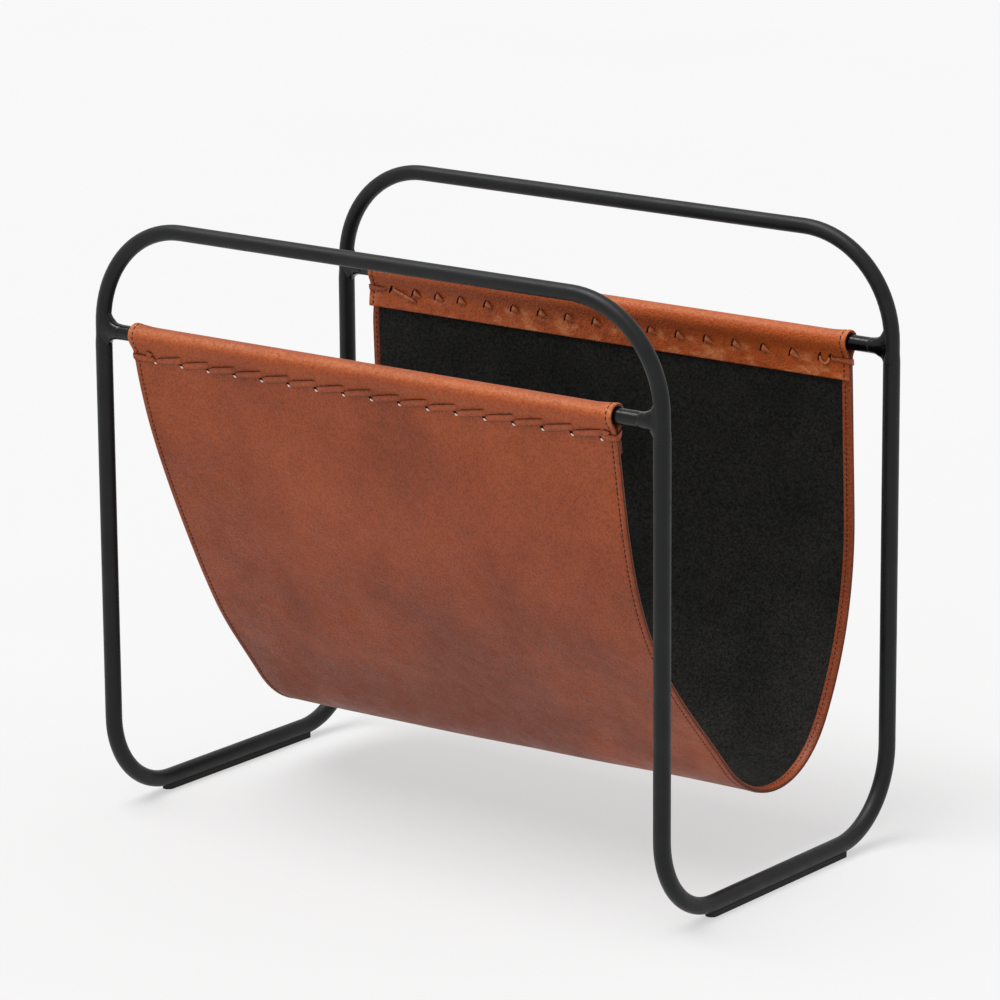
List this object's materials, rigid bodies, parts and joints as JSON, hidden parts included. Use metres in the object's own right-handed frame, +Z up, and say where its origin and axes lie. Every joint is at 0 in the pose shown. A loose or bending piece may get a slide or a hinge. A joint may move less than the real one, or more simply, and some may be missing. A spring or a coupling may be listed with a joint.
{
  "type": "magazine rack",
  "caption": "Magazine rack with a leather sling, lined inside, hung between the cross rods of a bent and welded round-bar frame with handle rails.",
  "frame": {"origin": "on the floor, under the centre of the frame", "axes": "+X along the cross rods, +Y to the back, +Z up"},
  "size_m": [0.3996, 0.2321, 0.3515],
  "materials": {
    "black_paint": "satin black paint",
    "weld_paint": "black paint over weld, glossier",
    "floor_strip": "matte",
    "sling_leather": "smooth waxed pull-up leather",
    "binding_leather": "smooth, dark cut edges",
    "lace_leather": "smooth thong",
    "lining_felt": "napped black cloth",
    "stitch_thread": "waxed thread"
  },
  "bodies": {
    "frame": {"front_handle_hoop": "black_paint", "back_handle_hoop": "black_paint", "left_runner_loop": "black_paint", "right_runner_loop": "black_paint", "front_cross_rod": "black_paint", "back_cross_rod": "black_paint", "front_left_weld": "weld_paint", "front_right_weld": "weld_paint", "back_left_weld": "weld_paint", "back_right_weld": "weld_paint", "left_floor_strip": "floor_strip", "right_floor_strip": "floor_strip"},
    "sling": {"sling_leather": "sling_leather", "sling_lining": "lining_felt", "left_edge_binding": "binding_leather", "right_edge_binding": "binding_leather", "left_edge_thread": "stitch_thread", "right_edge_thread": "stitch_thread", "front_lace": "lace_leather", "back_lace": "lace_leather"}
  },
  "joints": [
    {"name": "sling_slide", "type": "slide", "parent": "frame", "child": "sling", "axis": [1, 0, 0], "range_m": [-0.0095, 0.017]}
  ]
}
